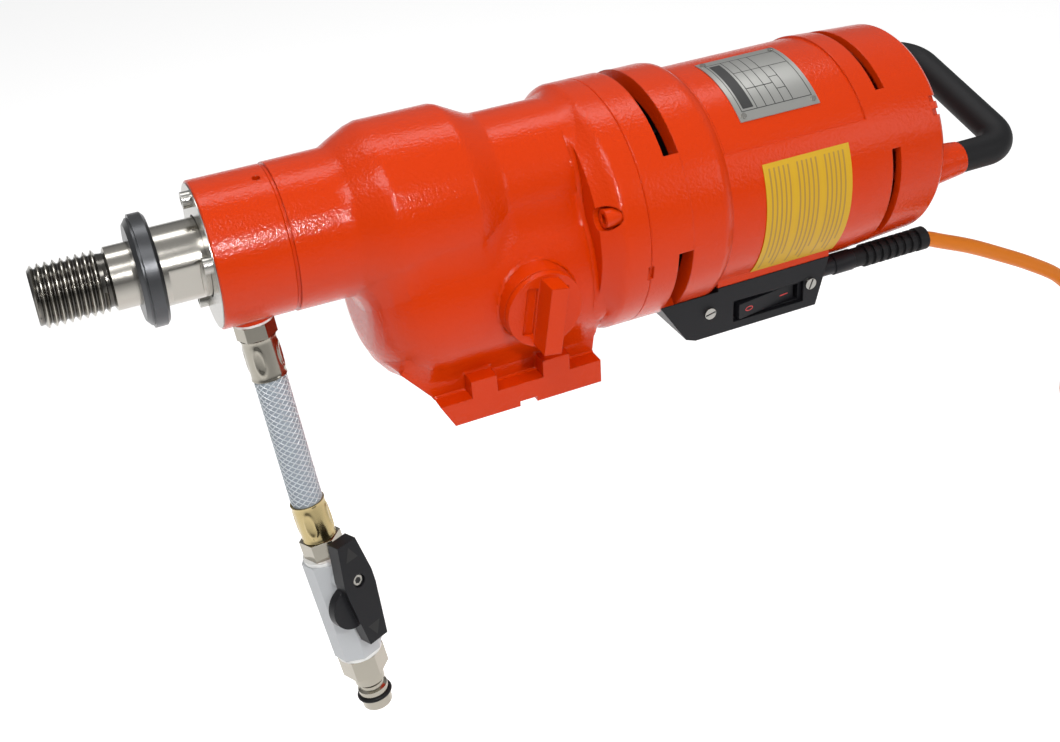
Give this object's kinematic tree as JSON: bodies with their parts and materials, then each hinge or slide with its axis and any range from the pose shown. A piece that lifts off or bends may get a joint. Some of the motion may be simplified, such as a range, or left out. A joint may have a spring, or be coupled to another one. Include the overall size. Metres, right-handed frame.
{
  "type": "core drill motor",
  "caption": "Electric wet core drill motor with two-speed gearbox, mounting foot, threaded spindle, water feed with ball valve, rear carrying handle and mains lead.",
  "frame": {"origin": "centre of the mounting foot's bottom face, where the drill stand's carriage bolts on", "axes": "+X along the spindle axis from the threaded nose to the rear handle, +Z out of the foot through the gear case, -Y to the side with the speed selector and switch"},
  "size_m": [0.7631, 0.222, 0.3295],
  "materials": {
    "red_paint": "semi-gloss, fine orange peel over cast aluminium",
    "steel": "turned",
    "bearing_steel": "ground",
    "gear_steel": "hardened",
    "zinc_screw": "zinc plated",
    "black_oxide": "blackened",
    "black_plastic": "fine grain",
    "black_rubber": "matt",
    "orange_cable": "satin jacket",
    "label_yellow": "film",
    "plate_silver": "satin",
    "nickel": "nickel plated",
    "brass": "pressed",
    "bronze": "cast",
    "copper": "wound or turned copper",
    "lamination": "stacked sheet",
    "clear_hose": "clear with braid",
    "white_plastic": "smooth",
    "grey_cast": "shot blasted",
    "carbon": "pressed carbon"
  },
  "bodies": {
    "housing": {"gear_housing": "red_paint", "nose_housing": "red_paint", "cover_plate": "zinc_screw", "cover_screws": "zinc_screw", "water_seals": "black_rubber", "spindle_bearings": "bearing_steel", "lay_bearings": "bearing_steel", "fork_rod": "steel", "motor_housing": "red_paint", "flange_screws": "red_paint", "armature_bearings": "bearing_steel", "stator_core": "lamination", "field_coils": "copper", "brush_carrier": "black_plastic", "carbon_brushes": "carbon", "nameplate": "plate_silver", "nameplate_rivets": "zinc_screw", "blank_label": "label_yellow", "switch_box": "black_plastic", "switch_cover": "black_plastic", "switch_screws": "zinc_screw", "switch_body": "black_plastic", "cable_gland": "black_plastic", "bend_relief": "black_rubber", "mains_cable": "orange_cable", "cable_coil": "orange_cable", "coil_tie": "black_plastic", "plug_body": "black_plastic", "plug_pins": "nickel", "carry_handle": "black_rubber", "inlet_washer": "white_plastic", "inlet_nut": "nickel", "hose_ferrules": "brass", "water_hose": "clear_hose", "hose_nut": "nickel", "valve_body": "grey_cast", "valve_rings": "white_plastic", "water_nipple": "nickel", "nipple_oring": "black_rubber"},
    "spindle_unit": {"spindle": "steel", "spindle_gear_low": "gear_steel", "spindle_gear_high": "gear_steel"},
    "ring": {"release_ring": "black_oxide"},
    "layshaft_unit": {"layshaft": "steel", "lay_drive_gear": "gear_steel"},
    "low_gear": {"lay_gear_low": "gear_steel"},
    "high_gear": {"lay_gear_high": "gear_steel"},
    "sleeve": {"shift_sleeve": "gear_steel"},
    "fork": {"shift_fork": "bronze"},
    "selector": {"selector_knob": "red_paint", "selector_shaft": "steel"},
    "armature": {"armature_shaft": "steel", "armature_core": "lamination", "commutator": "copper", "fan": "black_plastic"},
    "switch_rocker": {"rocker": "black_plastic"},
    "lever": {"valve_lever": "black_plastic", "lever_screw": "steel", "valve_ball": "nickel"}
  },
  "joints": [
    {"name": "spindle_turn", "type": "hinge", "parent": "housing", "child": "spindle_unit", "pos_m": [-0.0475, 0, 0.108], "axis": [1, 0, 0], "continuous": true},
    {"name": "ring_turn", "type": "hinge", "parent": "spindle_unit", "child": "ring", "pos_m": [-0.176, 0, 0.108], "axis": [1, 0, 0], "continuous": true},
    {"name": "layshaft_turn", "type": "hinge", "parent": "housing", "child": "layshaft_unit", "pos_m": [-0.01, 0, 0.0455], "axis": [1, 0, 0], "continuous": true},
    {"name": "low_gear_turn", "type": "hinge", "parent": "housing", "child": "low_gear", "pos_m": [-0.0485, 0, 0.0455], "axis": [1, 0, 0], "continuous": true},
    {"name": "high_gear_turn", "type": "hinge", "parent": "housing", "child": "high_gear", "pos_m": [-0.0122, 0, 0.0455], "axis": [1, 0, 0], "continuous": true},
    {"name": "sleeve_slide", "type": "slide", "parent": "layshaft_unit", "child": "sleeve", "axis": [1, 0, 0], "range_m": [0, 0.0108]},
    {"name": "fork_slide", "type": "slide", "parent": "housing", "child": "fork", "axis": [1, 0, 0], "range_m": [0, 0.0108]},
    {"name": "selector_turn", "type": "hinge", "parent": "housing", "child": "selector", "pos_m": [0.0068, -0.0605, 0.0632], "axis": [0, 1, 0], "range_deg": [0, 100]},
    {"name": "armature_turn", "type": "hinge", "parent": "housing", "child": "armature", "pos_m": [0.15, 0, 0.0815], "axis": [1, 0, 0], "continuous": true},
    {"name": "rocker_tip", "type": "hinge", "parent": "housing", "child": "switch_rocker", "pos_m": [0.1492, -0.0445, 0.0177], "axis": [0, 0, -1], "range_deg": [0, 14.6]},
    {"name": "valve_turn", "type": "hinge", "parent": "housing", "child": "lever", "pos_m": [-0.11768, -0.03637, -0.07792], "axis": [0.3535, -0.9083, 0.2239], "range_deg": [0, 90]}
  ],
  "couplings": [
    {"joint": "layshaft_turn", "follows": "spindle_turn", "ratio": -1.9412},
    {"joint": "low_gear_turn", "follows": "spindle_turn", "ratio": -1.9412},
    {"joint": "high_gear_turn", "follows": "spindle_turn", "ratio": -1},
    {"joint": "armature_turn", "follows": "spindle_turn", "ratio": 7.7647},
    {"joint": "fork_slide", "follows": "selector_turn", "m_per_rad": 0.006145},
    {"joint": "sleeve_slide", "follows": "selector_turn", "m_per_rad": 0.006145}
  ]
}
